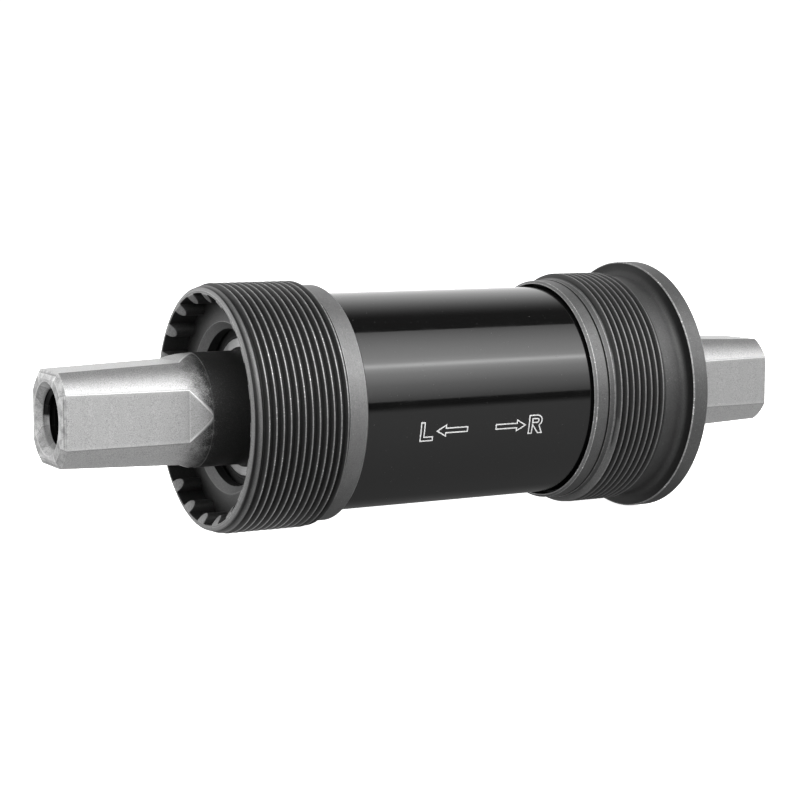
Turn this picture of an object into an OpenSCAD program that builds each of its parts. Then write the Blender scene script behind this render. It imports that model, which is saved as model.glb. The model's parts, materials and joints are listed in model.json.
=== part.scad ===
// Square-taper cartridge bottom bracket for a 68 mm threaded shell.
// The spindle lies along X. X = 0 is the middle of the shell, +X the flanged drive side, +Z up.

/* [Shell and threads] */
// Width of the frame shell between its two machined faces
shell_w = 68; // [68:1:73]
// Pitch of the shell thread, 24 turns to the inch
pitch = 1.0583; // [0.8:0.0001:1.2]
// Outside radius of the shell thread on both cups
thread_r = 17.3; // [17.1:0.05:17.5]
// Full crests on the left cup
left_crests = 12; // [8:1:12]
// Full crests on the right cup
right_crests = 8; // [5:1:8]

/* [Spindle] */
// Length of the spindle over both ends
spindle_l = 116; // [113:1:122]
// Radius of the bearing seats
seat_r = 8; // [7.9:0.05:8.1]
// Radius of the shaft outside the bearings
shaft_r = 7.9; // [7.7:0.05:7.95]
// Half the distance across the flats at the small end
square_half = 6.33; // [6.2:0.01:6.4]
// Angle of each flat to the axis
taper_angle = 2; // [1.5:0.1:2]
// Minor radius of the M8 x 1 crank bolt threads
bolt_hole_r = 3.46; // [3.3:0.02:3.5]
// Depth of full thread in each end
bolt_thread_l = 20; // [15:1:22]

/* [Cartridge tube] */
// Outside radius of the tube
tube_r = 15.41; // [15.3:0.01:15.5]
// Inside radius of the tube, which is the bearings' outside radius
tube_bore_r = 14; // [13.9:0.05:14.1]

/* [Cups] */
// Radius of the right cup's flange
flange_r = 18.8; // [18.4:0.1:19.5]
// Thickness of the flange
flange_t = 2.57; // [2:0.01:3]
// Radial gap between the left cup's bore and the tube
slip_gap = 0.05; // [0.02:0.01:0.09]
// Splines for the fitting tool in each cup
splines = 20; // [18:1:22]
// Turn of the splines about X, from one at the top
spline_turn = 4; // [0:0.5:18]
// Radius over the spline notches
notch_r = 16; // [15.8:0.1:16.1]
// Radius of the hole in each cup's floor
hole_r = 10.95; // [10.5:0.05:11.5]

/* [Bearings] */
// Width of a bearing
bearing_w = 7; // [6.5:0.1:7.5]
// Diameter of a ball
ball_d = 3.969; // [3.5:0.001:4]
// Balls in a bearing
ball_count = 10; // [8:1:11]

/* [Hidden] */
$fn = 120;

LEFT = -1;
RIGHT = 1;

// places along X
seat_x = shell_w / 2;
tube_end = seat_x - 4.1;
floor_back = tube_end + 0.1;
bearing_x = tube_end - 0.1 - bearing_w / 2;
left_face = -seat_x - 1.7;
left_end = -seat_x + 15.4;
left_first = -seat_x + 0.4;
right_lip = seat_x - 15.6;
right_first = seat_x - 11.75;
right_face = seat_x + flange_t;

// thread form, 60 degrees with truncated crests
crest_flat = pitch / 8;
root_r = thread_r - 0.6134 * pitch;
foot = crest_flat / 2 + (thread_r - root_r) * tan(30);
half_crest_r = root_r + 0.25;

// cup insides
bore_gap = 0.43;
lip_chamfer = 0.95;
floor_depth = 3.4;
wall_depth = 3.9;
tooth_r = 0.95;
tooth_tip_r = 14.7;

// spindle ends
taper_foot = spindle_l / 2 - 20.6;
ramp_foot = spindle_l / 2 - 17.5;
end_chamfer = 0.55;
corner_foot_r = shaft_r - 0.05;
corner_tip_r = 7.27;
countersink_r = 4.95;
ring_groove_r = 7.6;
ring_t = 1;

// bearing sections
pitch_r = 11.15;
ball_r = ball_d / 2;
groove_r = 0.52 * ball_d;
ball_play = 0.05;
inner_land_r = 9.7;
outer_land_r = 12.6;
seal_in = 2.75;
seal_out = 3.3;
seal_seat_r = 13;
cage_t = 0.4;
cage_in_r = 10.45;
cage_out_r = 11.85;
pocket_r = ball_r + 0.06;
rivet_r = 0.3;

// a solid turned about X from an outline of [x, radius] points
module turned(outline)
    rotate([0, 90, 0])
        rotate_extrude()
            polygon([for (p = outline) [p[1], p[0]]]);

// copies round X, the first one at +Z
module around_x(count)
    for (i = [0:count - 1])
        rotate([i * 360 / count, 0, 0])
            children();

// outline of a run of thread ridges whose first crest is at x
function ridges(x, count) = [
    for (i = [0:count - 1], p = [[-foot, root_r], [-crest_flat / 2, thread_r],
                                 [crest_flat / 2, thread_r], [foot, root_r]])
        [x + i * pitch + p[0], p[1]]
];

// outline of one low ridge, where the thread runs in or out
function faint_ridge(x, r) = [
    [x - foot / 2, root_r], [x - crest_flat / 2, r], [x + crest_flat / 2, r], [x + foot / 2, root_r]
];

// a list of [x, y] points with each side scaled, and one in the other order
function scaled(points, sx, sy) = [for (p = points) [sx * p[0], sy * p[1]]];
function backwards(points) = [for (i = [len(points) - 1:-1:0]) points[i]];

// half height of the squared shape from the middle out: run-out, tapered flat, chamfered end
flat_outline = [
    [taper_foot, seat_r + 1],
    [taper_foot, shaft_r],
    [ramp_foot, square_half + (spindle_l / 2 - ramp_foot) * tan(taper_angle)],
    [spindle_l / 2 - end_chamfer, square_half],
    [spindle_l / 2, square_half - 1]
];

// the spindle seen from the side, as a slab that leaves two opposite flats on each end
module flats()
    rotate([90, 0, 0])
        linear_extrude(4 * seat_r, center = true)
            polygon(concat(
                flat_outline,
                backwards(scaled(flat_outline, 1, -1)),
                scaled(flat_outline, -1, -1),
                backwards(scaled(flat_outline, -1, 1))
            ));

// turned outline of the spindle, from the middle out to one end
spindle_outline = [
    [bearing_x - bearing_w / 2 - ring_t - 0.1, shaft_r],
    [bearing_x - bearing_w / 2 - ring_t - 0.1, ring_groove_r],
    [bearing_x - bearing_w / 2, ring_groove_r],
    [bearing_x - bearing_w / 2, seat_r],
    [bearing_x + bearing_w / 2, seat_r],
    [bearing_x + bearing_w / 2 + 0.3, shaft_r],
    [taper_foot, shaft_r],
    [taper_foot, corner_foot_r],
    [spindle_l / 2 - end_chamfer, corner_tip_r],
    [spindle_l / 2, corner_tip_r - 1],
    [spindle_l / 2, 0]
];

// tapped hole and its countersink, cut from one end of the spindle
module bolt_hole(side) {
    mouth = spindle_l / 2 - countersink_r + bolt_hole_r;
    turned([
        [side * (spindle_l / 2 + 1), 0],
        [side * (spindle_l / 2 + 1), countersink_r + 1],
        [side * mouth, bolt_hole_r],
        [side * (mouth - bolt_thread_l), bolt_hole_r],
        [side * (mouth - bolt_thread_l - 2), 0]
    ]);
}

module spindle() {
    color("#b9babb")
        difference() {
            intersection() {
                turned(concat(backwards(scaled(spindle_outline, -1, 1)), spindle_outline));
                flats();
                rotate([90, 0, 0])
                    flats();
            }
            bolt_hole(LEFT);
            bolt_hole(RIGHT);
        }
}

// split ring that backs an inner race
module snap_ring(side) {
    x = side * (bearing_x - bearing_w / 2 - 0.05 - ring_t / 2);
    color("#4a4a4c")
        difference() {
            turned([
                [x - ring_t / 2, ring_groove_r + 0.02],
                [x + ring_t / 2, ring_groove_r + 0.02],
                [x + ring_t / 2, seat_r + 1.2],
                [x - ring_t / 2, seat_r + 1.2]
            ]);
            translate([x, 0, seat_r])
                cube([2 * ring_t, 5, 4], center = true);
        }
}

module cartridge_tube() {
    edge = 0.25;
    color("#1b1c1e")
        turned([
            [-tube_end, tube_bore_r], [-tube_end, tube_r - edge], [edge - tube_end, tube_r],
            [tube_end - edge, tube_r], [tube_end, tube_r - edge], [tube_end, tube_bore_r]
        ]);
}

// sleeve that holds the two outer races apart
module bearing_spacer() {
    half = bearing_x - bearing_w / 2;
    color("#d8d6cf")
        turned([
            [-half, tube_bore_r - 1.1], [-half, tube_bore_r - 0.1],
            [half, tube_bore_r - 0.1], [half, tube_bore_r - 1.1]
        ]);
}

// rounded teeth left standing in a cup's tool recess
module tool_teeth(side, face)
    rotate([spline_turn, 0, 0])
        around_x(splines)
            translate([face - side * wall_depth / 2, 0, tooth_tip_r + tooth_r])
                rotate([0, 90, 0])
                    cylinder(wall_depth + 4, r = tooth_r, center = true, $fn = 32);

// tool recess and floor hole of a cup, cut from its outer face inwards
module tool_recess(side, face) {
    difference() {
        turned([
            [face + side, 0],
            [face + side, notch_r],
            [face - side * wall_depth, notch_r],
            [face - side * floor_depth, hole_r + lip_chamfer],
            [face - side * (floor_depth + lip_chamfer), hole_r],
            [side * floor_back, hole_r],
            [side * floor_back, 0]
        ]);
        intersection() {
            tool_teeth(side, face);
            turned([
                [face, notch_r - 0.15], [face, notch_r + 1],
                [face - side * wall_depth, notch_r + 1],
                [face - side * wall_depth, tooth_tip_r - 1],
                [face - side, tooth_tip_r - 0.05]
            ]);
        }
    }
}

module left_cup() {
    bore_r = tube_r + slip_gap;
    last = left_first + (left_crests - 1) * pitch;
    color("#5d5e60")
        difference() {
            turned(concat(
                [[left_face, 0], [left_face, 16.15], [left_face + 0.25, 16.45], [left_face + 0.7, 16.75]],
                faint_ridge(left_first - pitch, half_crest_r),
                ridges(left_first, left_crests),
                faint_ridge(last + 0.95 * pitch, half_crest_r),
                [[left_end - 0.3, root_r], [left_end, root_r - 0.3], [left_end, 0]]
            ));
            tool_recess(LEFT, left_face);
            turned([
                [-floor_back, 0], [-floor_back, bore_r], [left_end - 0.3, bore_r],
                [left_end, bore_r + 0.3], [left_end + 1, bore_r + 1.3], [left_end + 1, 0]
            ]);
        }
}

module right_cup() {
    last = right_first + (right_crests - 1) * pitch;
    fillet = 1;
    land_end = right_first - 1.35;
    color("#5d5e60")
        difference() {
            turned(concat(
                [[right_lip, 0], [right_lip, 15.95], [right_lip + 0.35, 16.3]],
                [[land_end - 0.5, 16.35], [land_end - 0.4, 16.15], [land_end - 0.2, 16.15]],
                [[land_end - 0.1, 16.45], [land_end, root_r - 0.15]],
                faint_ridge(right_first - pitch, half_crest_r + 0.1),
                ridges(right_first, right_crests),
                [for (a = [0:10:90])
                    [seat_x - fillet + fillet * sin(a), root_r + fillet - fillet * cos(a)]],
                [[seat_x, flange_r - 0.15], [seat_x + 0.15, flange_r]],
                [[right_face - 0.2, flange_r], [right_face, flange_r - 0.2], [right_face, 0]]
            ));
            tool_recess(RIGHT, right_face);
            turned([
                [floor_back, 0], [floor_back, tube_r], [right_lip + 2.1, tube_r],
                [right_lip + 2.1, tube_r + bore_gap], [right_lip - 1, tube_r + bore_gap], [right_lip - 1, 0]
            ]);
        }
}

// the ring-shaped track that a race's groove is cut with
module ball_track(centre_r)
    rotate([0, 90, 0])
        rotate_extrude()
            translate([centre_r, 0])
                circle(groove_r, $fn = 48);

module outer_race(side)
    translate([side * bearing_x, 0, 0])
        color("#8f9194")
            difference() {
                turned(concat(
                    [[-bearing_w / 2, tube_bore_r - 0.3], [0.3 - bearing_w / 2, tube_bore_r]],
                    [[bearing_w / 2 - 0.3, tube_bore_r], [bearing_w / 2, tube_bore_r - 0.3]],
                    [[bearing_w / 2, seal_seat_r - 0.25], [seal_out, seal_seat_r - 0.25]],
                    [[seal_out, seal_seat_r], [seal_in, seal_seat_r], [seal_in, outer_land_r]],
                    [[-seal_in, outer_land_r], [-seal_in, seal_seat_r], [-seal_out, seal_seat_r]],
                    [[-seal_out, seal_seat_r - 0.25], [-bearing_w / 2, seal_seat_r - 0.25]]
                ));
                ball_track(pitch_r + ball_r + ball_play - groove_r);
            }

module inner_race(side)
    translate([side * bearing_x, 0, 0])
        color("#a6a8ab")
            difference() {
                turned([
                    [-bearing_w / 2, seat_r + 0.35], [-bearing_w / 2, inner_land_r - 0.15],
                    [0.15 - bearing_w / 2, inner_land_r], [bearing_w / 2 - 0.15, inner_land_r],
                    [bearing_w / 2, inner_land_r - 0.15], [bearing_w / 2, seat_r + 0.35],
                    [bearing_w / 2 - 0.35, seat_r], [0.35 - bearing_w / 2, seat_r]
                ]);
                ball_track(pitch_r - ball_r - ball_play + groove_r);
            }

module balls(side)
    translate([side * bearing_x, 0, 0])
        color("#c9cbce")
            around_x(ball_count)
                translate([0, 0, pitch_r])
                    sphere(ball_r, $fn = 48);

// one half of a riveted ribbon cage: flats between the balls, a cap over each ball
module cage_half(side, face)
    translate([side * bearing_x, 0, 0])
        color("#b5a46a")
            difference() {
                intersection() {
                    union() {
                        turned([
                            [0, cage_in_r], [0, cage_out_r],
                            [face * cage_t, cage_out_r], [face * cage_t, cage_in_r]
                        ]);
                        around_x(ball_count)
                            translate([0, 0, pitch_r])
                                sphere(pocket_r + cage_t, $fn = 48);
                    }
                    turned([
                        [0, cage_in_r], [0, cage_out_r], [face * 4, cage_out_r], [face * 4, cage_in_r]
                    ]);
                }
                around_x(ball_count)
                    translate([0, 0, pitch_r])
                        sphere(pocket_r, $fn = 48);
                rotate([180 / ball_count, 0, 0])
                    around_x(ball_count)
                        translate([0, 0, pitch_r])
                            rotate([0, 90, 0])
                                cylinder(4 * cage_t, r = rivet_r, center = true, $fn = 24);
            }

module cage_rivets(side)
    translate([side * bearing_x, 0, 0])
        color("#9a9b9d")
            rotate([180 / ball_count, 0, 0])
                around_x(ball_count)
                    translate([0, 0, pitch_r])
                        turned([
                            [-cage_t - 0.22, 0], [-cage_t - 0.22, rivet_r], [-cage_t, rivet_r + 0.2],
                            [-cage_t, rivet_r], [cage_t, rivet_r], [cage_t, rivet_r + 0.2],
                            [cage_t + 0.22, rivet_r], [cage_t + 0.22, 0]
                        ]);

// rubber shield snapped into the outer race, its lip just clear of the inner race
module seal(side, face)
    translate([side * bearing_x, 0, 0])
        color("#161617")
            turned([
                [face * seal_in, inner_land_r + 0.5], [face * seal_in, seal_seat_r],
                [face * seal_out, seal_seat_r], [face * seal_out, seal_seat_r - 0.25],
                [face * (seal_out - 0.1), seal_seat_r - 0.6], [face * (seal_out - 0.1), inner_land_r + 0.6],
                [face * seal_out, inner_land_r + 0.4], [face * seal_out, inner_land_r + 0.08],
                [face * (seal_out - 0.3), inner_land_r + 0.08]
            ]);

spindle();
snap_ring(LEFT);  // left_snap_ring
snap_ring(RIGHT);  // right_snap_ring
cartridge_tube();
bearing_spacer();
right_cup();
left_cup();
outer_race(LEFT);  // left_outer_race
inner_race(LEFT);  // left_inner_race
balls(LEFT);  // left_balls
cage_half(LEFT, LEFT);  // left_cage_outer_half
cage_half(LEFT, RIGHT);  // left_cage_inner_half
cage_rivets(LEFT);  // left_cage_rivets
seal(LEFT, LEFT);  // left_outer_seal
seal(LEFT, RIGHT);  // left_inner_seal
outer_race(RIGHT);  // right_outer_race
inner_race(RIGHT);  // right_inner_race
balls(RIGHT);  // right_balls
cage_half(RIGHT, RIGHT);  // right_cage_outer_half
cage_half(RIGHT, LEFT);  // right_cage_inner_half
cage_rivets(RIGHT);  // right_cage_rivets
seal(RIGHT, RIGHT);  // right_outer_seal
seal(RIGHT, LEFT);  // right_inner_seal
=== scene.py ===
import json
import math

import bpy
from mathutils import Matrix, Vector


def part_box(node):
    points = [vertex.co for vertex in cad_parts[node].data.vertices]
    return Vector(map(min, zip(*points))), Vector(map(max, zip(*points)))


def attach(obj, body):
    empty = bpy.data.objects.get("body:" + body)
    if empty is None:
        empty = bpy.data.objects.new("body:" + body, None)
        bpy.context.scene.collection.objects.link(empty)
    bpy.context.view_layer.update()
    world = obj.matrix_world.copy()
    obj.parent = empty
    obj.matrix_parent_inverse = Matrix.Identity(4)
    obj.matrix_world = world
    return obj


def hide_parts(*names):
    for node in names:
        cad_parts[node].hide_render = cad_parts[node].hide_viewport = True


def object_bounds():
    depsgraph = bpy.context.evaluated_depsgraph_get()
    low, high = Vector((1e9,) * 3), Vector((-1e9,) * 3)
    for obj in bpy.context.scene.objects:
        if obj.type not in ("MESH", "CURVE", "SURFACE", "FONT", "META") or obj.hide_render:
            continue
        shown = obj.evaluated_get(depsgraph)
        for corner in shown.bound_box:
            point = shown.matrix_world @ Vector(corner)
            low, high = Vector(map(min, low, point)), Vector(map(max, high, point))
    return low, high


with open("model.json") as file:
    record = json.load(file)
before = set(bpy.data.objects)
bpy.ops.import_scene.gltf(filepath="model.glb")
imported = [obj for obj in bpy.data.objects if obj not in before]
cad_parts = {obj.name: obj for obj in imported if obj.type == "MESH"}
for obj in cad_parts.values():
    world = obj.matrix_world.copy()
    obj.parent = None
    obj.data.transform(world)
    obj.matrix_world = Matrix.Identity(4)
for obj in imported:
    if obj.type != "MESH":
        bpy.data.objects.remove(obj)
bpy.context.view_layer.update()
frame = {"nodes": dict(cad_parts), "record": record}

mm = 0.001
mounts = {mount["name"]: mount for mount in frame["record"]["mounts"]}


class Value:
    # one output of a node, shader or Geometry Nodes; arithmetic on it adds Math nodes to the same tree
    def __init__(self, graph, node, place=0):
        self.graph, self.node, self.place = graph, node, place

    def out(self, place):
        return Value(self.graph, self.node, place)

    def math(self, operation, *others):
        return self.graph.math(operation, self, *others)

    def __add__(self, other):
        return self.math("ADD", other)

    def __sub__(self, other):
        return self.math("SUBTRACT", other)

    def __mul__(self, other):
        return self.math("MULTIPLY", other)

    def __truediv__(self, other):
        return self.math("DIVIDE", other)

    def __rsub__(self, other):
        return self.graph.math("SUBTRACT", other, self)

    def __rtruediv__(self, other):
        return self.graph.math("DIVIDE", other, self)

    def __mod__(self, other):
        return self.math("FLOORED_MODULO", other)

    __radd__ = __add__
    __rmul__ = __mul__

    def least(self, other):
        return self.math("MINIMUM", other)

    def most(self, other):
        return self.math("MAXIMUM", other)

    def held(self, low=0.0, high=1.0):
        return self.most(low).least(high)

    def ramp(self, start, end):
        # 0 before start, 1 after end, straight between
        return ((self - start) / (end - start)).held()

    def soft(self, start, end):
        # as ramp, with both ends eased
        share = self.ramp(start, end)
        return share * share * (3 - 2 * share)


class Graph:
    def __init__(self, tree):
        self.tree = tree

    def add(self, kind, settings=None, sockets=None):
        node = self.tree.nodes.new(kind)
        for name, value in (settings or {}).items():
            if name == "stops":
                self.setStops(node.color_ramp, value)
            else:
                setattr(node, name, value)
        for place, value in (sockets or {}).items():
            self.join(value, node.inputs[place])
        return Value(self, node)

    def setStops(self, ramp, stops):
        while len(ramp.elements) < len(stops):
            ramp.elements.new(0.5)
        for element, (place, shade) in zip(ramp.elements, stops):
            element.position = place
            element.color = (shade, shade, shade, 1)

    def join(self, value, socket):
        if isinstance(value, Value):
            self.tree.links.new(value.node.outputs[value.place], socket)
        else:
            socket.default_value = value

    def math(self, operation, *terms):
        return self.add("ShaderNodeMath", {"operation": operation}, dict(enumerate(terms)))

    def mix(self, share, first, second):
        # between two colours
        return self.add("ShaderNodeMix", {"data_type": "RGBA"}, {0: share, 6: first, 7: second}).out(2)

    def split(self, vector):
        parts = self.add("ShaderNodeSeparateXYZ", {}, {0: vector})
        return parts.out(0), parts.out(1), parts.out(2)

    def vector(self, x, y, z):
        return self.add("ShaderNodeCombineXYZ", {}, {0: x, 1: y, 2: z})


def newTree(name, inputs):
    tree = bpy.data.node_groups.new(name, "GeometryNodeTree")
    tree.is_modifier = True
    tree.interface.new_socket("Geometry", in_out="INPUT", socket_type="NodeSocketGeometry")
    for label, kind in inputs.items():
        tree.interface.new_socket(label, in_out="INPUT", socket_type="NodeSocket" + kind)
    tree.interface.new_socket("Geometry", in_out="OUTPUT", socket_type="NodeSocketGeometry")
    graph = Graph(tree)
    return graph, graph.add("NodeGroupInput")


def gridOverOutline(g, outline, columns):
    # one row of grid points for each point of the outline
    # also gives the column and a reader of the row's values
    rows = g.add("GeometryNodeAttributeDomainSize", {}, {"Geometry": outline})
    grid = g.add("GeometryNodeMeshGrid", {}, {
        "Size X": 1.0, "Size Y": 1.0, "Vertices X": columns + 1, "Vertices Y": rows})
    across, along, _ = g.split(g.add("GeometryNodeInputPosition"))
    column = ((across + 0.5) * columns).math("ROUND")
    row = ((along + 0.5) * (rows - 1)).math("ROUND")

    def read(key):
        stored = g.add("GeometryNodeInputNamedAttribute", {"data_type": "FLOAT"}, {"Name": key})
        return g.add("GeometryNodeSampleIndex", {"data_type": "FLOAT"}, {
            0: outline, 1: stored, "Index": row})

    return grid, column, read


def closeShell(g, grid, x, radius, angle, marks, material, sharp=math.radians(32)):
    # keeps the marks for the finish, wraps the grid round X, closes its seams
    marked = grid
    for key, value in marks.items():
        marked = g.add("GeometryNodeStoreNamedAttribute", {"data_type": "FLOAT"}, {
            "Geometry": marked, "Name": key, "Value": value})
    wrapped = g.add("GeometryNodeSetPosition", {}, {
        "Geometry": marked,
        "Position": g.vector(x, radius * angle.math("COSINE"), radius * angle.math("SINE"))})
    joined = g.add("GeometryNodeMergeByDistance", {}, {"Geometry": wrapped, "Distance": 0.002 * mm})
    smooth = g.add("GeometryNodeSetShadeSmooth", {"domain": "FACE"}, {
        "Geometry": joined, "Shade Smooth": True})
    bend = g.add("GeometryNodeInputMeshEdgeAngle")
    crisp = g.add("GeometryNodeSetShadeSmooth", {"domain": "EDGE"}, {
        "Geometry": smooth, "Selection": bend.math("GREATER_THAN", sharp), "Shade Smooth": False})
    real = g.add("GeometryNodeRealizeInstances", {}, {"Geometry": crisp})
    finished = g.add("GeometryNodeSetMaterial", {}, {"Geometry": real, "Material": material})
    g.add("NodeGroupOutput", {}, {0: finished})


def plainTurnedTree():
    g, given = newTree("turnedPiece", {"Columns": "Int", "Material": "Material"})
    grid, column, read = gridOverOutline(g, given.out("Geometry"), given.out("Columns"))
    angle = column * (2 * math.pi) / given.out("Columns")
    marks = {"wear": read("wear"), "tone": read("tone")}
    closeShell(g, grid, read("x"), read("r"), angle, marks, given.out("Material"))
    return g.tree


def cupTree():
    # threads: rows marked helix slide along X with the turn, held between the ends of the thread
    # teeth: rows whose inside radius is free follow round teeth that stand in the tool recess
    g, given = newTree("threadedCup", {
        "Teeth": "Int", "First Tooth": "Float", "Tooth Radius": "Float", "Tooth Middle": "Float",
        "Notch Radius": "Float", "Pitch": "Float", "Hand": "Float", "Thread Start": "Float",
        "Thread End": "Float", "Start Radius": "Float", "Start Slope": "Float",
        "End Radius": "Float", "End Slope": "Float", "Material": "Material"})
    teeth, toothMiddle = given.out("Teeth"), given.out("Tooth Middle")
    toothRadius = given.out("Tooth Radius")
    arcSteps, gapSteps = 4, 4
    sliver = 0.0008  # radians between a tooth's foot and the wall beside it
    perTooth = 2 * (arcSteps + 1 + gapSteps)
    grid, column, read = gridOverOutline(g, given.out("Geometry"), teeth * perTooth)

    step = (column + perTooth / 2) % perTooth - perTooth / 2
    away = step.math("ABSOLUTE")
    swing = away.least(arcSteps) * (math.pi / 2 / arcSteps)
    across = toothRadius * swing.math("SINE")
    up = toothMiddle - toothRadius * swing.math("COSINE")
    widest = toothRadius.math("ARCTAN2", toothMiddle) + sliver
    offTooth = (away - arcSteps).held()
    share = across.math("ARCTAN2", up) + offTooth * sliver \
        + (away - arcSteps - 1).most(0) / gapSteps * (math.pi / teeth - widest)
    angle = given.out("First Tooth") + (column - step) / perTooth * (2 * math.pi) / teeth \
        + share * step.math("SIGN")
    onTooth = (across * across + up * up).math("SQRT")
    toothed = onTooth + offTooth * (given.out("Notch Radius") - onTooth)

    radius = toothed.most(read("low")).least(read("r"))
    x = read("x") + read("lean") * (read("leanFrom") - radius).most(0)
    turn = (angle - given.out("First Tooth")) / (2 * math.pi)
    slid = (x + given.out("Hand") * given.out("Pitch") * turn) \
        .most(given.out("Thread Start")).least(given.out("Thread End"))
    fromStart, toEnd = slid - given.out("Thread Start"), given.out("Thread End") - slid
    cut = radius.least(given.out("Start Radius") + fromStart * given.out("Start Slope")) \
        .least(given.out("End Radius") + toEnd * given.out("End Slope"))
    held = cut.most(given.out("Start Radius") - fromStart * 2).most(given.out("End Radius") - toEnd * 2)
    helix = read("helix")
    trimmed = ((radius - held) / (0.03 * mm)).held() * helix  # where a run-out has cut the crest away
    # where a run-out has cut the crest away, the groove's painted shade gives way to a lighter tone
    marks = {"wear": read("wear") * (1 - trimmed), "tone": read("tone").most(trimmed * 0.10)}
    closeShell(g, grid, x + helix * (slid - x), radius + helix * (held - radius), angle,
               marks, given.out("Material"))
    return g.tree


def spindleTree():
    # four flats cut the turned shape; the columns follow the flats' edges, so these stay crisp
    g, given = newTree("squareTaperSpindle", {
        "Pitch": "Float", "Mouth": "Float", "Mouth Radius": "Float", "Depth": "Float",
        "Minor Radius": "Float", "Material": "Material"})
    flatSteps, cornerSteps = 8, 8
    quarter = 2 * (flatSteps + cornerSteps)
    grid, column, read = gridOverOutline(g, given.out("Geometry"), 4 * quarter)
    step = (column + quarter / 2) % quarter - quarter / 2
    away = step.math("ABSOLUTE")
    spread = read("spread")
    swing = spread * away.least(flatSteps) / flatSteps \
        + (math.pi / 4 - spread) * (away - flatSteps).most(0) / cornerSteps
    angle = (column - step) / quarter * (math.pi / 2) + swing * step.math("SIGN")
    radius = read("r").least(read("flat") / swing.math("COSINE"))
    # edge is a painted highlight, a bright line along each edge of the flats in place of a rounded edge's
    # glint; it joins the wear
    edge = read("edge") * (1 - (away - flatSteps).math("ABSOLUTE").least(1))
    onFlat = (flatSteps + 1 - away).held()
    # on the flats the tone takes the flats' own factor, which on the ramps is painted shade
    tone = read("tone") * (1 - onFlat * (1 - read("flatTone")))

    x, helix = read("x"), read("helix")
    slid = x + helix * given.out("Pitch") * (angle / (2 * math.pi))
    far = slid.math("ABSOLUTE")
    threaded = far.most(given.out("Depth")).least(given.out("Mouth"))
    mouthCone = given.out("Mouth Radius") - (given.out("Mouth") - threaded)
    footCone = given.out("Minor Radius") + (threaded - given.out("Depth"))
    cut = radius.most(mouthCone).least(footCone)
    closeShell(g, grid, x + helix * (threaded * x.math("SIGN") - x), radius + helix * (cut - radius),
               angle, {"wear": read("wear").most(edge), "tone": tone, "flat": onFlat},
               given.out("Material"), math.radians(20))
    return g.tree


def row(x, r, wear=0.0, **more):
    # one point of an outline: place along X and radius in millimetres, and how worn it is, with the
    # painted highlight on the spindle's flat edges counted in
    # tone is how light the finish is there, and where it is low, in thread grooves, recesses, bores and
    # holes, it is painted shade; low is the least radius between teeth;
    # lean slopes a tooth's end; flat and spread are half across the flats and half a flat's angle
    return {"x": x, "r": r, "wear": wear, "low": r, "tone": 0.12, "flatTone": 1, **more}


def besideEdges(rows, reach=0.1):
    # a close neighbour on each side of a worn edge, so that the wear, and on the spindle the painted
    # highlight, stays a narrow line
    made = []
    for index, this in enumerate(rows):
        for neighbour, before in ((rows[index - 1], True), (rows[(index + 1) % len(rows)], False)):
            if not before:
                made.append(this)
            far = math.hypot(neighbour["x"] - this["x"], neighbour["r"] - this["r"])
            free = this["wear"] > 0 and far > 2.5 * reach and not neighbour.get("helix")
            if free and this["low"] == this["r"] and neighbour["low"] == neighbour["r"]:
                x, r, flat = (this.get(key, 0) + reach / far * (neighbour.get(key, 0) - this.get(key, 0))
                              for key in ("x", "r", "flat"))
                made.append(row(x, r, flat=flat, spread=this.get("spread", 0),
                                edge=min(this.get("edge", 0), neighbour.get("edge", 0)),
                                tone=neighbour["tone"], flatTone=neighbour["flatTone"]))
    return made


def fromOutline(name, rows, tree, values, body, slot, *nodes):
    # runs a tree on an outline, keeps the result as a plain mesh and hangs it on its body
    mesh = bpy.data.meshes.new(name)
    mesh.from_pydata([(0, 0, 0) for _ in rows], [], [])
    lengths = ("x", "r", "low", "leanFrom", "flat")
    for key in lengths + ("lean", "helix", "wear", "tone", "flatTone", "spread", "edge"):
        scale = mm if key in lengths else 1
        stored = mesh.attributes.new(key, "FLOAT", "POINT")
        stored.data.foreach_set("value", [scale * entry.get(key, 0) for entry in rows])
    piece = bpy.data.objects.new(name, mesh)
    bpy.context.scene.collection.objects.link(piece)
    return grown(piece, tree, values, body, slot, *nodes)


def grown(piece, tree, values, body, slot, *nodes):
    # the tree's result takes the place of the piece's mesh, and the modifier goes
    modifier = piece.modifiers.new("shape", "NODES")
    modifier.node_group = tree
    for item in tree.interface.items_tree:
        if item.in_out == "INPUT" and item.name in values:
            modifier[item.identifier] = values[item.name]
    bpy.context.view_layer.update()
    evaluated = piece.evaluated_get(bpy.context.evaluated_depsgraph_get())
    shaped = bpy.data.meshes.new_from_object(evaluated)
    piece.modifiers.remove(modifier)
    piece.data = shaped
    shaped.name = piece.name
    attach(piece, body)
    if nodes:
        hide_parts(*nodes)
    print("made", piece.name, len(shaped.polygons), "faces")
    return piece


def newFinish(name, **fixed):
    # fixed values go straight on the shader's sockets
    material = bpy.data.materials.new(name)
    material.use_nodes = True
    material.node_tree.nodes.clear()
    g = Graph(material.node_tree)
    shader = g.add("ShaderNodeBsdfPrincipled", {}, {
        key.replace("_", " "): value for key, value in fixed.items()})
    g.add("ShaderNodeOutputMaterial", {}, {"Surface": shader})
    g.shader = shader.node
    g.place = g.add("ShaderNodeTexCoord").out("Object")
    return material, g


def grey(value):
    return (value, value, value, 1)


def noise(g, size, detail=2.0, vector=None, roughness=0.5, contrast=None):
    # smooth noise whose features are about size millimetres across
    made = g.add("ShaderNodeTexNoise", {}, {
        "Vector": vector or g.place, "Scale": 1 / (size * mm),
        "Detail": detail, "Roughness": roughness})
    return made.ramp(*contrast) if contrast else made


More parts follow.
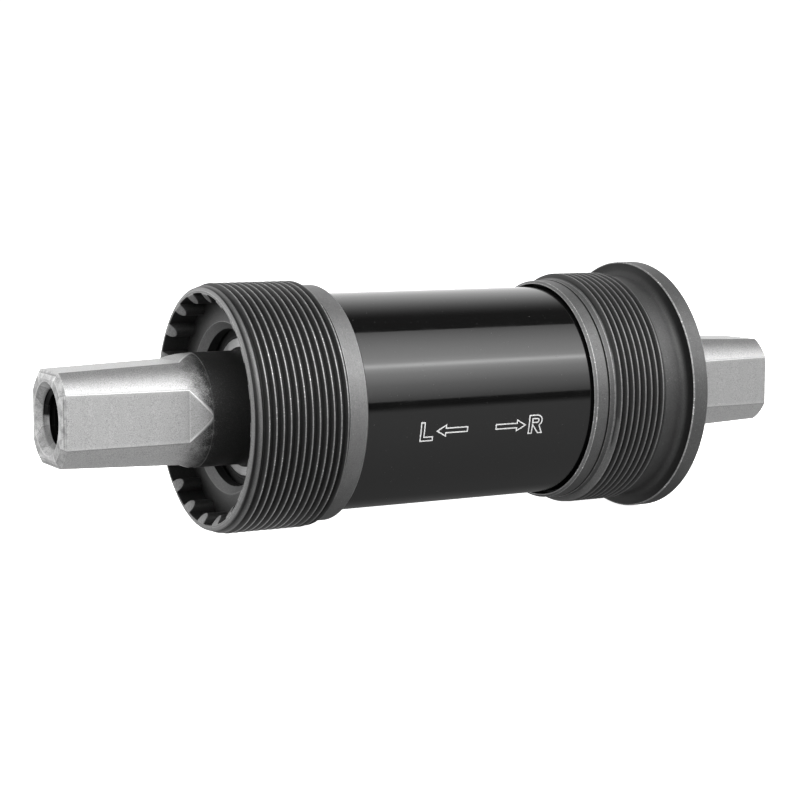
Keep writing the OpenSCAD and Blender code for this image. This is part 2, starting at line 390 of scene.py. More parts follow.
def bump(g, height, depth, strength=1.0):
    # height from 0 to 1 stands for depth millimetres
    raised = g.add("ShaderNodeBump", {}, {
        "Strength": strength, "Distance": depth * mm, "Height": height})
    g.join(raised.out("Normal"), g.shader.inputs["Normal"])


def polar(g):
    # along X, distance from X and angle round X
    x, y, z = g.split(g.place)
    return x, (y * y + z * z).math("SQRT"), z.math("ARCTAN2", y)


def turningLines(g, size, stretch=40):
    # marks left by a lathe: long round X, short along the outline
    x, radius, angle = polar(g)
    return noise(g, size, 2, g.vector(x, radius, angle * (8 * mm / stretch)))


def setFinish(g, **links):
    for key, value in links.items():
        g.join(value, g.shader.inputs[key.replace("_", " ")])


def markOf(g, key):
    # a value kept on the mesh
    return g.add("ShaderNodeAttribute", {"attribute_name": key}).out("Fac")


def cupSteel():
    # dark phosphate that has rubbed bright on crests and edges
    material, g = newFinish("cupSteel", Metallic=0.85)
    grain = noise(g, 0.13, 3, roughness=0.65)
    blotch = noise(g, 2.6, 3)
    lines = turningLines(g, 0.16)
    broken = noise(g, 0.30, 3, roughness=0.7, contrast=(0.36, 0.60))
    chips = noise(g, 0.21, 1, contrast=(0.58, 0.64))
    wear = markOf(g, "wear")
    rubbed = wear * (0.30 + 0.60 * broken)
    # the rows' tone, with its painted shade in grooves and recesses, broken up by grain, blotches and
    # turning lines
    tone = markOf(g, "tone") * (0.50 + 0.44 * grain.ramp(0.3, 0.7) + 0.25 * blotch
                                + 0.20 * lines + 0.10 * broken)
    specks = noise(g, 0.20, 1, contrast=(0.70, 0.76)) * tone.ramp(0.03, 0.10) * 0.22
    chipped = wear.ramp(0.3, 0.55) * chips * blotch.ramp(0.47, 0.60) * 0.85
    shade = (tone + specks * 0.4 + rubbed * (0.42 - tone)).most(chipped)
    setFinish(g, Base_Color=g.mix(shade.held(), grey(0.0), grey(1.0)),
              Roughness=0.56 - 0.20 * rubbed + 0.12 * (grain - 0.5))
    bump(g, 0.6 * grain + 0.4 * lines, 0.010, 0.8)
    return material


def tubePaint():
    # gloss black, with a little dust and orange peel
    material, g = newFinish("tubePaint")
    dust = noise(g, 0.28, 1, contrast=(0.74, 0.82))
    peel = noise(g, 1.1, 1)
    scuffs = noise(g, 5.0, 3, contrast=(0.45, 0.75))
    setFinish(g, Base_Color=g.mix(dust * 0.4, grey(0.003), grey(0.06)),
              Roughness=0.06 + 0.07 * scuffs + 0.3 * dust)
    bump(g, 0.92 * peel + 0.08 * dust, 0.002, 0.6)
    return material


def spindleSteel(sizes):
    # bright ground flats; the corners fade in specks into the black oxide of the shaft
    material, g = newFinish("spindleSteel")
    x, _, _ = g.split(g.place)
    far = x.math("ABSOLUTE") / mm  # from the middle of the spindle
    grain = noise(g, 0.15, 3, roughness=0.75)
    fine = noise(g, 0.06, 2, roughness=0.6)
    mottle = noise(g, 1.3, 3)
    flat, tone, wear = markOf(g, "flat"), markOf(g, "tone"), markOf(g, "wear")
    foot = sizes["taperFoot"]
    onFlat = far.ramp(foot, foot + 0.25) * flat
    onCorner = (far.ramp(foot - 1.0, foot + 5.0) + 0.7 * (fine - 0.5) + 0.8 * (grain - 0.5)
                + 0.6 * (mottle - 0.5)).ramp(0.20, 0.82)
    ground = onFlat.most(onCorner * (1 - flat) * far.ramp(foot - 1.2, foot))
    stray = grain.ramp(0.62, 0.74) * far.ramp(foot - 4.5, foot)
    pits = noise(g, 0.17, 1, contrast=(0.66, 0.74))
    speckle = noise(g, 0.11, 1, contrast=(0.25, 0.75))
    bright = tone * (0.22 + 0.22 * speckle + 0.14 * grain + 0.06 * mottle - 0.16 * pits)
    # the corners are painted darker than the flats, a painted shade that dims their highlight
    bright = bright * (0.80 + 0.20 * flat)
    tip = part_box("spindle")[1].x / mm - sizes["endChamfer"]
    # the end face and its chamfer are battered
    battered = far.ramp(tip - 0.3, tip + 0.15)
    dents = noise(g, 0.9, 3, contrast=(0.38, 0.66))
    bright = bright * (1 + battered * (0.25 - 0.5 * dents))
    # wear brightens worn spots, and along the flats' edges it is a painted highlight
    bright = bright + wear * (0.85 - bright) * 0.75
    oxide = 0.015 + 0.012 * grain.ramp(0.45, 0.65) + 0.10 * stray + 0.20 * wear
    setFinish(g, Base_Color=g.mix((oxide + ground * (bright - oxide)).held(), grey(0.0), grey(1.0)),
              Metallic=0.55 + 0.45 * ground, Roughness=0.47 + 0.12 * (fine - 0.5) - 0.10 * wear)
    bump(g, 0.5 * grain + 0.5 * fine, 0.008, 0.7)
    return material


def sealRubber():
    # black moulded rubber
    material, g = newFinish("sealRubber")
    grain = noise(g, 0.12, 2)
    film = noise(g, 1.2, 2)
    setFinish(g, Base_Color=g.mix(film.ramp(0.4, 0.7), grey(0.003), grey(0.008)),
              Roughness=0.62 + 0.2 * film)
    bump(g, 0.6 * grain + 0.4 * turningLines(g, 0.2), 0.006, 0.6)
    return material


def groundSteel(name, dark, light, roughness):
    # turned or ground steel that has kept its fine round marks
    material, g = newFinish(name, Metallic=1.0)
    lines = turningLines(g, 0.12)
    film = noise(g, 1.5, 3)
    setFinish(g, Base_Color=g.mix((0.5 * lines + 0.5 * film).ramp(0.35, 0.65), grey(dark), grey(light)),
              Roughness=roughness + 0.12 * (film - 0.5))
    bump(g, lines, 0.004, 0.6)
    return material


def ballSteel():
    # polished, with patches of oil
    material, g = newFinish("ballSteel", Metallic=1.0)
    film = noise(g, 0.8, 3)
    setFinish(g, Base_Color=g.mix(film, grey(0.66), grey(0.80)),
              Roughness=0.07 + 0.12 * film.ramp(0.5, 0.8))
    return material


def cageBrass():
    # pressed brass strip
    material, g = newFinish("cageBrass", Metallic=1.0)
    film = noise(g, 0.9, 3)
    setFinish(g, Base_Color=g.mix(film.ramp(0.3, 0.7), (0.50, 0.36, 0.15, 1), (0.68, 0.53, 0.27, 1)),
              Roughness=0.26 + 0.2 * film)
    bump(g, noise(g, 0.15, 2), 0.004, 0.5)
    return material


def spacerPlastic():
    # pale moulded plastic
    material, g = newFinish("spacerPlastic")
    film = noise(g, 3.0, 2)
    setFinish(g, Base_Color=g.mix(film, (0.66, 0.64, 0.58, 1), (0.76, 0.74, 0.68, 1)),
              Roughness=0.42 + 0.1 * film)
    bump(g, noise(g, 0.3, 2), 0.006, 0.5)
    return material


def markInk():
    # thin silver print
    material, g = newFinish("markInk")
    worn = noise(g, 0.22, 3, contrast=(0.30, 0.62))
    setFinish(g, Base_Color=g.mix(worn, grey(0.38), grey(0.60)), Roughness=0.38 + 0.15 * worn)
    return material


# millimetres; firstTooth is in degrees, and teeth and turns are counts
cupSizes = {
    "crestRadius": mounts["shell_thread"]["dims"]["r_mm"], "pitch": 1.0583, "threadDepth": 0.649,
    "notchRadius": 16.0, "toothMiddle": 15.65, "toothRadius": 0.95, "teeth": 20, "firstTooth": 4,
    "toothRim": 15.85, "floorDepth": 3.4, "wallDepth": 3.9, "floorEdge": 11.9, "holeRadius": 10.95,
    "leftBore": 15.46, "rightBore": 15.41, "lipBore": 15.84, "lipDepth": 2.1,
    "lipTip": 15.95, "lipRadius": 16.3, "lipEnd": 16.34, "lineRadius": 16.18,
    "bandStart": 16.45, "bandEnd": 16.48, "reliefDepth": 0.12,
    "faceRadius": 16.3, "leadRadius": 16.76, "leadLength": 0.25, "firstCrest": 0.066,
    "leftTurns": 11, "leftRunOut": 0.52, "rightTurns": 7, "rightRunOut": 0.70, "rightRunIn": 0.57,
    "lineFromThread": 1.17,
    "flangeRadius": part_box("right_cup")[1].z / mm, "flangeFillet": 1.0, "clearBehind": 0.1,
}


def toolRecess(face, inward, back):
    # from the hole at the back of the floor out to the rim of the face
    s = cupSizes
    notch = s["notchRadius"]
    floor, wall = face + inward * s["floorDepth"], face + inward * s["wallDepth"]
    chamfer = s["floorEdge"] - s["holeRadius"]
    floorLean = -inward * (s["wallDepth"] - s["floorDepth"]) / (notch - s["floorEdge"])
    toothLean = inward / 1.2
    # the recess is painted darker towards its wall and down the hole behind it: painted shade in its deep
    # parts
    rows = [
        row(back, s["holeRadius"], tone=0.03),
        row(floor + inward * chamfer, s["holeRadius"], 0.2, tone=0.15),
        row(floor, s["floorEdge"], 0.2, tone=0.16),
    ]
    for share in (0.06, 0.33, 0.66):
        r = s["floorEdge"] + share * (s["toothMiddle"] - s["toothRadius"] - s["floorEdge"])
        rows.append(row(floor - floorLean * (r - s["floorEdge"]), r, tone=0.09 - 0.04 * share))
    free = {"low": 0, "tone": 0.045}
    rows += [
        row(wall, notch, lean=floorLean, leanFrom=notch, **free),
        row(wall - inward * 0.25, notch, lean=floorLean, leanFrom=notch, **free),
        row(face + inward * 0.30, notch, lean=toothLean, leanFrom=s["toothRim"], **free),
        row(face + inward * 0.12, notch, lean=toothLean, leanFrom=s["toothRim"], low=0, tone=0.07),
        row(face, notch, 0.16, lean=toothLean, leanFrom=s["toothRim"], low=0),
        row(face, notch, 0.42, low=s["toothRim"]),
        row(face, notch + 0.03, 0.42, tone=0.16),
    ]
    return rows


def threadRows(first, last, root, crest, pitch, wear, brightTurns=0):
    # rows of a rounded 60 degree thread from first to last, in order along X
    # half a pitch, from the crest to the root: distance along X, radius, wear and tone; the tone falls
    # towards the root as painted shade in the groove
    half = [(0.045, crest, wear, 0.12), (0.075, crest - 0.011, wear * 0.6, 0.12),
            (0.105, crest - 0.037, 0, 0.09), (0.15, crest - 0.123, 0, 0.045),
            (0.395, root + 0.06, 0, 0.022), (0.43, root + 0.018, 0, 0.016), (0.48, root, 0, 0.016)]
    rows = []
    for turn in range(-2, math.ceil((last - first) / pitch) + 2):
        for side, points in ((-1, half[::-1]), (1, half)):
            for offset, r, worn, tone in points:
                worn *= 1.7 if turn < brightTurns else 1
                rows.append(row(first + turn * pitch + side * offset, r, worn, tone=tone, helix=1))
    return rows


def threadValues(finish, hand, start, end, startSlope, endSlope, startRadius):
    # the thread grows from startRadius at its start and falls to the root at its end
    s = cupSizes
    root = s["crestRadius"] - s["threadDepth"]
    return {
        "Teeth": s["teeth"], "First Tooth": math.radians(s["firstTooth"]),
        "Tooth Radius": s["toothRadius"] * mm, "Tooth Middle": s["toothMiddle"] * mm,
        "Notch Radius": s["notchRadius"] * mm, "Pitch": s["pitch"] * mm, "Hand": float(hand),
        "Thread Start": start * mm, "Thread End": end * mm,
        "Start Radius": startRadius * mm, "Start Slope": startSlope,
        "End Radius": root * mm, "End Slope": endSlope, "Material": finish,
    }


def firstCrestOf(cup):
    # place along X of the first whole crest of a cup's thread
    thread = mounts[cup + "_thread"]
    return thread["pos_m"][0] / mm - thread["dims"]["length_mm"] / 2 + cupSizes["firstCrest"]


def leftCup(tree, finish):
    s = cupSizes
    root, crest, pitch = s["crestRadius"] - s["threadDepth"], s["crestRadius"], s["pitch"]
    face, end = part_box("left_cup")[0].x / mm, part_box("left_cup")[1].x / mm
    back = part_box("cartridge_tube")[0].x / mm - s["clearBehind"]
    firstCrest = firstCrestOf("left_cup")
    start, threadEnd = face + s["leadLength"], firstCrest + s["leftTurns"] * pitch + s["leftRunOut"]
    rows = toolRecess(face, 1, back)
    land = {"tone": 0.16}
    rows += [row(face, s["faceRadius"], 0.55, tone=0.19), row(start, s["leadRadius"], 0.5, tone=0.21)]
    rows += threadRows(firstCrest - 2.5 * pitch, threadEnd, root, crest, pitch, 0.48)
    rows += [
        row(threadEnd + 0.03, root, 0.4, **land), row(threadEnd + 0.9, root, **land),
        row(threadEnd + 1.9, root, **land), row(end - 0.25, root, 0.4, **land),
        row(end, root - 0.25, 0.4), row(end, s["leftBore"] + 0.3, 0.2),
        # the bore is painted dark: painted shade inside the cup
        row(end - 0.3, s["leftBore"], tone=0.05), row(back, s["leftBore"], tone=0.03), rows[0],
    ]
    values = threadValues(finish, 1, start, threadEnd, 0.34, 1.3, s["leadRadius"])
    return fromOutline("leftCup", besideEdges(rows), tree, values,
                       "left_cup", "cup_steel", "left_cup")


def rightCup(tree, finish):
    s = cupSizes
    root, crest, pitch = s["crestRadius"] - s["threadDepth"], s["crestRadius"], s["pitch"]
    lip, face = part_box("right_cup")[0].x / mm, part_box("right_cup")[1].x / mm
    seat = mounts["shell_seat"]["pos_m"][0] / mm
    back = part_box("cartridge_tube")[1].x / mm + s["clearBehind"]
    firstCrest = firstCrestOf("right_cup")
    start = firstCrest - s["rightRunIn"]
    threadEnd = firstCrest + s["rightTurns"] * pitch + s["rightRunOut"]
    rim, fillet, relief = s["flangeRadius"], s["flangeFillet"], root - s["reliefDepth"]
    line, shoulder = start - s["lineFromThread"], lip + s["lipDepth"]
    # dark is painted shade, for the bore, the narrow groove behind the lip, the relief before the thread
    # and the end of the thread
    dark, edge, rimTone = {"tone": 0.03}, {"wear": 0.45, "tone": 0.09}, {"tone": 0.095}
    rows = [
        row(back, s["rightBore"], **dark), row(shoulder, s["rightBore"], **dark),
        row(shoulder, s["lipBore"], **dark), row(lip, s["lipBore"], 0.2),
        row(lip, s["lipTip"], 0.9), row(lip + 0.35, s["lipRadius"], 0.9),
        row(line, s["lipEnd"], tone=0.11), row(line + 0.08, s["lineRadius"], **dark),
        row(line + 0.20, s["lineRadius"], **dark), row(line + 0.28, s["bandStart"], **edge),
        row(start - 0.1, s["bandEnd"], **edge), row(start, relief, tone=0.02),
    ]
    rows += threadRows(firstCrest - 1.51 * pitch, threadEnd, root, crest, pitch, 0.22, brightTurns=3)
    rows += [row(threadEnd + 0.03, root, **dark), row(threadEnd + 0.3, root, tone=0.075)]
    # the fillet is painted darker towards the flange and on into the flange's foot: painted shade in the
    # corner
    for degrees in range(0, 91, 10):
        out, up = fillet * math.sin(math.radians(degrees)), fillet * math.cos(math.radians(degrees))
        rows.append(row(seat - fillet + out, root + fillet - up,
                        tone=0.065 - 0.035 * math.sin(math.radians(degrees))))
    rows += [
        row(seat, rim - 0.5, tone=0.025), row(seat, rim - 0.12, 0.5),
        row(seat + 0.12, rim, 0.6, **rimTone), row(face - 0.1, rim, 0.35, **rimTone),
        row(face, rim - 0.1, 0.4),
    ]
    rows += toolRecess(face, -1, back)[::-1] + [rows[0]]
    values = threadValues(finish, -1, start, threadEnd, 1.6, 1.1, relief)
    return fromOutline("rightCup", besideEdges(rows), tree, values,
                       "cartridge", "cup_steel", "right_cup")


spindleSizes = {
    "acrossFlats": 12.66, "taperFoot": 37.4, "rampFoot": 40.5, "rampHalf": 6.941, "endChamfer": 0.55,
    "shaftRadius": 7.9, "cornerFootRadius": 7.85, "cornerTipRadius": 7.27, "seatRadius": 8.0,
    "grooveRadius": 7.6, "grooveLength": 1.1, "seatChamfer": 0.3, "endRing": 5.15, "countersink": 4.95,
    "minorRadius": mounts["left_bolt_thread"]["dims"]["r_mm"], "majorRadius": 4.0, "boltPitch": 1.0,
    "boltDepth": mounts["left_bolt_thread"]["dims"]["length_mm"], "drillPoint": 2,
}
clearOfFlats = {"flat": 99, "spread": math.radians(20)}  # a flat so far out that it cuts nothing


def spindleHalf():
    # rows from the middle of the spindle out to its end and down the bolt hole
    s = spindleSizes
    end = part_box("spindle")[1].x / mm
    seatStart, seatEnd = (corner.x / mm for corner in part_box("right_inner_race"))
    foot, tip = s["taperFoot"], end - s["endChamfer"]
    half, shaft = s["acrossFlats"] / 2, s["shaftRadius"]
    around = clearOfFlats["spread"]

    def turned(x, r, wear=0.0, spread=around, tone=1):
        return row(x, r, wear, flat=clearOfFlats["flat"], spread=spread, tone=tone)

    def flatAt(x, wear=0.0, edge=0.3, flatTone=1):
        if x > tip:
            drop = (x - tip) / s["endChamfer"]
            r, flat = s["cornerTipRadius"] - drop, half - drop
        else:
            along = (x - foot) / (tip - foot)
            r = s["cornerFootRadius"] + (s["cornerTipRadius"] - s["cornerFootRadius"]) * along
            if x > s["rampFoot"]:
                flat = half + (s["rampHalf"] - half) * (tip - x) / (tip - s["rampFoot"])
            else:
                # the flat narrows in straight lines to a point
                share = (x - foot) / (s["rampFoot"] - foot)
                flat = math.sqrt(r ** 2 - share ** 2 * (r ** 2 - s["rampHalf"] ** 2))
        return row(x, r, wear, flat=flat, spread=math.acos(min(1, flat / r)), edge=edge, tone=1,
                   flatTone=flatTone)

    groove, bare = seatStart - s["grooveLength"], seatEnd + s["seatChamfer"]
    rows = [turned(0, shaft), turned(groove, shaft), turned(groove, s["grooveRadius"]),
            turned(seatStart, s["grooveRadius"]), turned(seatStart, s["seatRadius"]),
            turned(seatEnd, s["seatRadius"]), turned(bare, shaft)]
    for share in (0.2, 0.4, 0.6, 0.8, 0.95):
        rows.append(turned(bare + share * (foot - bare), shaft,
                           spread=around * math.cos(share * math.pi / 2)))
    # where each flat narrows and ramps up to the shaft it is painted darker: painted shade for the ramp's
    # slope
    rows += [turned(foot - 0.01, shaft, 0.1, spread=math.radians(0.5)),
             flatAt(foot + 0.02, 0.1, 0.6, 0.66)]
    for share in (0.12, 0.3, 0.5, 0.75, 0.95):
        rows.append(flatAt(foot + share * (s["rampFoot"] - foot), 0, 0.6, 0.66))
    rows.append(flatAt(s["rampFoot"], 0, 0.4, 0.9))
    for share in (0.03, 0.2, 0.4, 0.6, 0.8):
        rows.append(flatAt(s["rampFoot"] + share * (tip - s["rampFoot"]), edge=0.2))
    rows += [flatAt(tip, 0.2, 0.5, 0.5), flatAt(tip + s["endChamfer"] / 2, 0.05, 0.3),
             flatAt(end, 0.5, 0.5)]
    flat, spread = rows[-1]["flat"], rows[-1]["spread"]
    mouth = end - (s["countersink"] - s["minorRadius"])
    widest = end - (s["countersink"] - s["majorRadius"])
    # down the countersink the tone is painted darker: painted shade going into the hole
    rows += [row(end, s["endRing"], flat=flat, spread=spread, tone=1),
             turned(end, s["countersink"], 0.5, spread, 0.9),
             turned(widest + 0.2, s["majorRadius"] + 0.2, tone=0.8),
             turned(widest, s["majorRadius"], tone=0.6)]
    return rows, mouth, widest


def boltThread(side, mouth, widest):
    # rows of an inside thread, in order from its mouth to its foot
    s = spindleSizes
    minor, major, pitch = s["minorRadius"], s["majorRadius"], s["boltPitch"]
    rows = []
    for turn in range(-1, int(s["boltDepth"] / pitch) + 3):
        # past the first turn the thread is painted almost black: painted shade deep in the hole
        tone = 0.4 if turn < 1 else 0.03
        for share, r in ((0.0, major), (0.1, major), (0.42, minor), (0.68, minor), (0.92, major - 0.04)):
            x = side * (widest + pitch - (turn + share) * pitch)
            rows.append(row(x, r, helix=1, tone=tone, **clearOfFlats))
    return rows, mouth - s["boltDepth"]


def spindle(tree, finish):
    # one outline from hole to hole: the left half runs inwards, the right half outwards
    s = spindleSizes
    out, mouth, widest = spindleHalf()
    rows = []
    for side in (-1, 1):
        thread, foot = boltThread(side, mouth, widest)
        # the foot of the hole is painted dark as well: painted shade
        bottom = [row(side * foot, s["minorRadius"], tone=0.03, **clearOfFlats),
                  row(side * (foot - s["drillPoint"]), 0, tone=0.03, **clearOfFlats)]
        half = [dict(entry, x=side * entry["x"]) for entry in out[1:]] + thread + bottom
        rows = rows + (half[::-1] + [out[0]] if side < 0 else half)
    values = {"Pitch": s["boltPitch"] * mm, "Mouth": widest * mm, "Mouth Radius": s["majorRadius"] * mm,
              "Depth": foot * mm, "Minor Radius": s["minorRadius"] * mm, "Material": finish}
    return fromOutline("groundSpindle", besideEdges(rows), tree, values,
                       "spindle", "spindle_steel", "spindle")


tubeSizes = {"radius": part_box("cartridge_tube")[1].z / mm, "bore": 14.0, "edge": 0.25, "columns": 192}

markSizes = {
    "belowMiddle": 3.12, "tail": 2.25, "headBase": 5.7, "tip": 7.35, "shaftHalf": 0.42, "headHalf": 0.94,
    "letterHeight": 2.82, "letterWidth": 2.1, "stem": 0.72, "letterFrom": 7.75, "bowl": 0.86, "neck": 1.42,
    "hole": 0.2, "legFrom": 1.62, "legReach": 0.35, "stroke": 0.17, "thickness": 0.015, "lift": 0.002,
}


def tube(tree, finish):
    # the outline starts and ends at the left end of the bore
    radius, bore, edge = tubeSizes["radius"], tubeSizes["bore"], tubeSizes["edge"]
    low, high = (corner.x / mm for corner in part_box("cartridge_tube"))
    rows = [row(low, bore), row(low, radius - edge, 0.5), row(low + edge, radius, 0.5)]
    for share in (0.25, 0.5, 0.75):
        rows.append(row(low + share * (high - low), radius))
    rows += [row(high - edge, radius, 0.5), row(high, radius - edge, 0.5), row(high, bore), row(low, bore)]
    values = {"Columns": tubeSizes["columns"], "Material": finish}
    return fromOutline("tube", besideEdges(rows), tree, values,
                       "cartridge", "tube_paint", "cartridge_tube")


def arrowLoop():
    # closed outline of an arrow that points along +X
    m = markSizes
    half, wide = m["shaftHalf"], m["headHalf"]
    return [(m["tail"], -half), (m["headBase"], -half), (m["headBase"], -wide), (m["tip"], 0),
            (m["headBase"], wide), (m["headBase"], half), (m["tail"], half)]


def letterLoops(letter):
    # closed outlines of a block letter, its foot at 0, 0
    m = markSizes
    stem, height, width = m["stem"], m["letterHeight"], m["letterWidth"]
    if letter == "L":
        return [[(0, 0), (width, 0), (width, stem), (stem, stem), (stem, height), (0, height)]]
    bowl, hole, middle = m["bowl"], m["hole"], height - m["bowl"]
    overlap = 0.05  # how far the leg and the hole reach past the bowl's lines

    def arc(x, radius, degrees):
        return [(x + radius * math.cos(math.radians(a)), middle + radius * math.sin(math.radians(a)))
                for a in degrees]

    legs = [(0, 0), (stem, 0), (stem, middle - bowl + overlap),
            (m["legFrom"], 0), (width + m["legReach"], 0)]
    opening = [(stem, middle - hole), (stem, middle + hole)]
    return [legs + arc(m["neck"], bowl, range(-60, 91, 25)) + [(0, height)],
            arc(m["neck"] - overlap, hole, range(90, -91, -45)) + opening]


def band(loop, width):
    # points and faces of a band of even width inside a closed outline
    count = len(loop)
    inner = []
    for i, (x, y) in enumerate(loop):
        before, after = loop[i - 1], loop[(i + 1) % count]
        a = Vector((x - before[0], y - before[1])).normalized()
        b = Vector((after[0] - x, after[1] - y)).normalized()
        bisector = Vector((-a.y - b.y, a.x + b.x))
        inner.append(Vector((x, y)) + bisector * (2 * width / max(bisector.length_squared, 0.4)))
    faces = [(i, (i + 1) % count, count + (i + 1) % count, count + i) for i in range(count)]
    return [tuple(point) for point in loop] + [tuple(point) for point in inner], faces


def markTree():
    # lays flat marks round the tube and gives them the thickness of the print
    g, given = newTree("tubeMarks", {"Radius": "Float", "Thickness": "Float", "Material": "Material"})
    fine = g.add("GeometryNodeSubdivideMesh", {}, {"Mesh": given.out("Geometry"), "Level": 3})
    thick = g.add("GeometryNodeExtrudeMesh", {"mode": "FACES"}, {
        "Mesh": fine, "Offset": g.vector(0, 0, 1), "Offset Scale": given.out("Thickness"),
        "Individual": False})
    closed = g.add("GeometryNodeJoinGeometry", {}, {"Geometry": thick})
    g.join(g.add("GeometryNodeFlipFaces", {}, {"Mesh": fine}), closed.node.inputs["Geometry"])
    x, along, height = g.split(g.add("GeometryNodeInputPosition"))
    radius = given.out("Radius") + height
    angle = along / given.out("Radius")
    wrapped = g.add("GeometryNodeSetPosition", {}, {
        "Geometry": closed,
        "Position": g.vector(x, radius * angle.math("COSINE") * -1, radius * angle.math("SINE"))})
    joined = g.add("GeometryNodeMergeByDistance", {}, {"Geometry": wrapped, "Distance": 0.001 * mm})
    real = g.add("GeometryNodeRealizeInstances", {}, {"Geometry": joined})
    finished = g.add("GeometryNodeSetMaterial", {}, {"Geometry": real, "Material": given.out("Material")})
    g.add("NodeGroupOutput", {}, {0: finished})
    return g.tree


def tubeMarks(finish):
    # an arrow and a letter for each side
    m = markSizes
    loops = []
    for side, letter in ((-1, "L"), (1, "R")):
        arrow = [(side * x, y - m["belowMiddle"]) for x, y in arrowLoop()]
        loops.append(arrow if side > 0 else arrow[::-1])
        start = m["letterFrom"] if side > 0 else -m["letterFrom"] - m["letterWidth"]
        for loop in letterLoops(letter):
            loops.append([(start + x, y - m["letterHeight"] / 2 - m["belowMiddle"]) for x, y in loop])
    points, faces = [], []
    for loop in loops:
        more, quads = band(loop, m["stroke"])
        faces += [tuple(len(points) + i for i in quad) for quad in quads]
        points += [(x * mm, y * mm, 0) for x, y in more]
    mesh = bpy.data.meshes.new("directionMarks")
    mesh.from_pydata(points, [], faces)
    piece = bpy.data.objects.new("directionMarks", mesh)
    bpy.context.scene.collection.objects.link(piece)
    values = {"Radius": (tubeSizes["radius"] + m["lift"]) * mm, "Thickness": m["thickness"] * mm,
              "Material": finish}
    return grown(piece, markTree(), values, "cartridge", "tube_paint")


cupFinish = cupSteel()
cups = cupTree()
leftCup(cups, cupFinish)
rightCup(cups, cupFinish)
spindle(spindleTree(), spindleSteel(spindleSizes))
tube(plainTurnedTree(), tubePaint())
tubeMarks(markInk())

# what the names of the frame's own pieces hold, and the finish of each
nodeFinishes = {
    "inner_race": groundSteel("innerRaceSteel", 0.34, 0.46, 0.34),
    "outer_race": groundSteel("outerRaceSteel", 0.36, 0.5, 0.3),
    "seal": sealRubber(), "balls": ballSteel(), "cage": cageBrass(),
    "rivets": groundSteel("rivetSteel", 0.40, 0.55, 0.3),
    "snap_ring": groundSteel("springSteel", 0.10, 0.17, 0.36), "spacer": spacerPlastic(),
}
for name, node in frame["nodes"].items():
    for word, finish in nodeFinishes.items():
        if word in name and not (word == "cage" and "rivets" in name):
            node.data.materials.clear()
            node.data.materials.append(finish)
print("finishes set on the bearing pieces")


# metres; the brightnesses are strengths of light
studio = {
    "floorRadius": 2.2, "bendRadius": 0.4, "domeRadius": 2.6, "domeHeight": 1.8, "domeTop": 2.2,
    "columns": 96, "floorBrightness": 0.9, "wallBrightness": 1.1,
    "floorGlowBrightness": 0.85, "floorGlowLift": 0.0003,
}
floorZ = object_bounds()[0].z


def stageCard(name, points, faces, material):
    # a studio mesh of one material, kept out of the object
    mesh = bpy.data.meshes.new(name)
    mesh.from_pydata(points, [], faces)
    mesh.materials.append(material)
    piece = bpy.data.objects.new(name, mesh)
    bpy.context.scene.collection.objects.link(piece)
    return piece


def revolvedStage(name, outline, material):
    # floor and wall turned round Z
    columns = studio["columns"]
    points, faces = [], []
    for r, z in outline:
        for i in range(columns):
            angle = 2 * math.pi * i / columns
            points.append((r * math.cos(angle), r * math.sin(angle), z))
    for level in range(len(outline) - 1):
        here, above = level * columns, (level + 1) * columns
        for i in range(columns):
            j = (i + 1) % columns
            faces.append((here + i, here + j, above + j, above + i))
    faces.append(tuple(range(columns))[::-1])
    return stageCard(name, points, faces, material)


def emission(name, strength):
    # a plain white light; its graph and light let the strength vary
    material = bpy.data.materials.new(name)
    material.use_nodes = True
    material.node_tree.nodes.clear()
    g = Graph(material.node_tree)
    light = g.add("ShaderNodeEmission", {}, {"Color": (1, 1, 1, 1), "Strength": strength})
    g.add("ShaderNodeOutputMaterial", {}, {"Surface": light})
    return material, g, light


def floorAndWall():
    # a pale floor that bends up into a glowing dome; the object is lit and mirrored by neither
    s = studio
    finish, g = newFinish("paleFloor", Roughness=0.9, Emission_Color=grey(1.0),
                          Emission_Strength=s["floorBrightness"])
    setFinish(g, Base_Color=g.mix(noise(g, 60, 2), grey(0.90), grey(0.93)))
    floor = revolvedStage("floor", [(0.05, floorZ), (s["floorRadius"], floorZ)], finish)
    floor.visible_glossy = floor.visible_diffuse = False

    def arc(r, z, across, up, degrees):
        return [(r + across * math.cos(math.radians(a)), z + up * math.sin(math.radians(a)))
                for a in degrees]

    bend, springing = s["bendRadius"], floorZ + s["bendRadius"]
    outline = [(0.06, floorZ - 0.01)] \
        + arc(s["floorRadius"], springing, bend, bend, range(-90, 1, 15)) \
        + arc(0, springing, s["domeRadius"], s["domeHeight"], range(10, 90, 10)) \
        + [(0.02, floorZ + s["domeTop"])]
    wall = revolvedStage("wall", outline, emission("paleWall", s["wallBrightness"])[0])
    for ray in ("visible_glossy", "visible_diffuse", "visible_shadow", "visible_transmission"):
        setattr(wall, ray, False)


# low and high are elevations from the object in degrees, the rest is in metres
# stops give shares of the height and how bright the sheet is there
softboxSizes = {
    "low": 3, "high": 81, "left": -0.8, "right": 1.4, "distance": 0.8, "peak": 9.8,
    "stops": [(0.0, 0.11), (0.24, 0.25), (0.39, 0.43), (0.445, 0.58), (0.482, 1.0), (0.52, 0.56),
              (0.58, 0.46), (0.68, 0.38), (0.80, 0.29), (1.0, 0.16)],
}


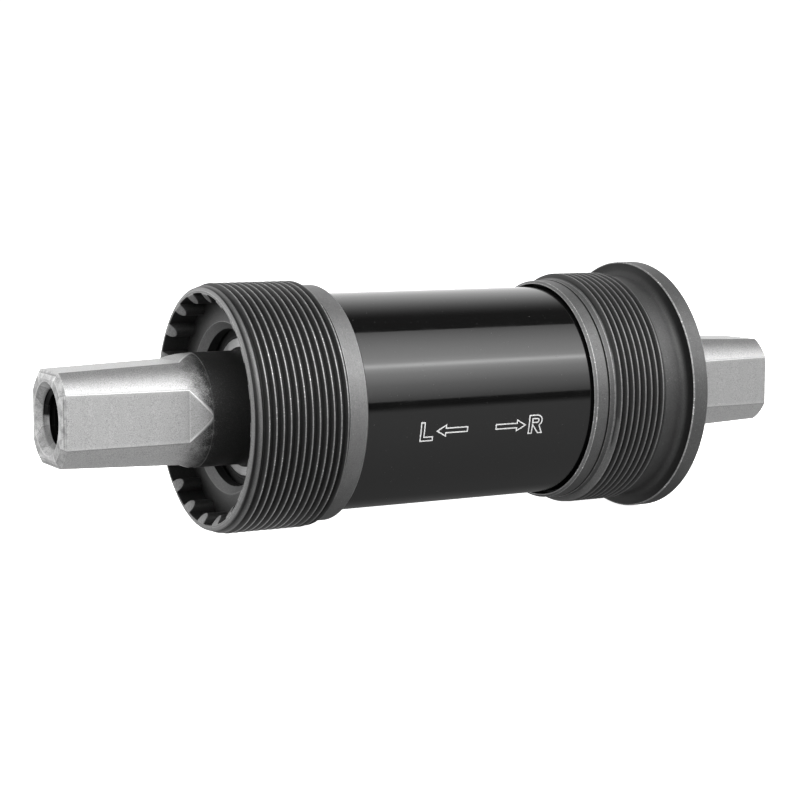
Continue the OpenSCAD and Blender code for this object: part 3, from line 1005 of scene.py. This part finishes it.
def softbox():
    # a glowing sheet in front of the object, tilted back, that the camera does not see
    s = softboxSizes
    material, g, light = emission("frontSoftboxGlow", 1.0)
    along, height, _ = g.split(g.add("ShaderNodeUVMap", {"uv_map": "sheet"}))
    glow = g.add("ShaderNodeValToRGB", {"stops": s["stops"]}, {"Fac": height})
    fading = s["peak"] * (1 - 0.5 * along.ramp(0.52, 0.72))  # dimmer towards the flange
    g.join(g.add("ShaderNodeSeparateColor", {}, {"Color": glow}) * fading, light.node.inputs["Strength"])

    corners = ((0, 0), (1, 0), (1, 1), (0, 1))
    points = []
    for across, up in corners:
        elevation = math.radians(s["high"] if up else s["low"])
        points.append((s["right"] if across else s["left"],
                       -s["distance"] * math.cos(elevation), s["distance"] * math.sin(elevation)))
    sheet = stageCard("frontSoftbox", points, [(0, 1, 2, 3)], material)
    for loop, place in zip(sheet.data.uv_layers.new(name="sheet").data, corners):
        loop.uv = place
    sheet.visible_camera = False


def floorGlow(name, left, right, reach):
    # light that comes back up from the floor beyond the shadow of the cartridge; millimetres
    z = floorZ + studio["floorGlowLift"]
    corners = ((left, -reach), (right, -reach), (right, reach), (left, reach))
    points = [(x * mm, y * mm, z) for x, y in corners]
    finish = emission(name + "Glow", studio["floorGlowBrightness"])[0]
    stageCard(name, points, [(0, 1, 2, 3)], finish).visible_camera = False


def skyLight():
    # white light: over the horizon mostly from behind, under it mostly from the front
    # more of it comes from the left at every height
    world = bpy.data.worlds.new("studio")
    bpy.context.scene.world = world
    world.use_nodes = True
    world.node_tree.nodes.clear()
    g = Graph(world.node_tree)
    right, back, up = g.split(g.add("ShaderNodeTexCoord").out("Generated"))
    air = g.add("ShaderNodeBackground", {}, {"Color": (1, 1, 1, 1)})
    above = 0.06 + 1.30 * back.soft(0.15, 0.72)
    below = (0.36 - 0.40 * back).most(0.16)
    fromLeft = 0.9 * (0 - right).soft(0.15, 0.75)
    g.join(above + up.soft(-0.04, -0.14) * (below - above) + fromLeft, air.node.inputs["Strength"])
    g.add("ShaderNodeOutputWorld", {}, {"Surface": air})


view = {
    "azimuth": -28.923, "elevation": 6.416, "distance": 0.283088,
    "target": (-0.004707, 0, -0.000402), "lens": 87.89,
}


def camera():
    # azimuth turns from the front towards the right
    turn, tilt = math.radians(view["azimuth"]), math.radians(view["elevation"])
    outward = Vector((math.sin(turn) * math.cos(tilt), -math.cos(turn) * math.cos(tilt), math.sin(tilt)))
    eye = bpy.data.objects.new("camera", bpy.data.cameras.new("camera"))
    eye.data.lens = view["lens"]
    eye.data.sensor_width = 36
    eye.data.clip_start, eye.data.clip_end = 0.01, 20
    eye.location = Vector(view["target"]) + outward * view["distance"]
    eye.rotation_mode = "QUATERNION"
    eye.rotation_quaternion = outward.to_track_quat("Z", "Y")
    bpy.context.scene.collection.objects.link(eye)
    bpy.context.scene.camera = eye


floorAndWall()
floorGlow("leftFloorGlow", -130, -24, 45)
floorGlow("rightFloorGlow", 42, 120, 30)
softbox()
skyLight()
camera()
bpy.context.scene.view_settings.view_transform = "Standard"
print("studio set")
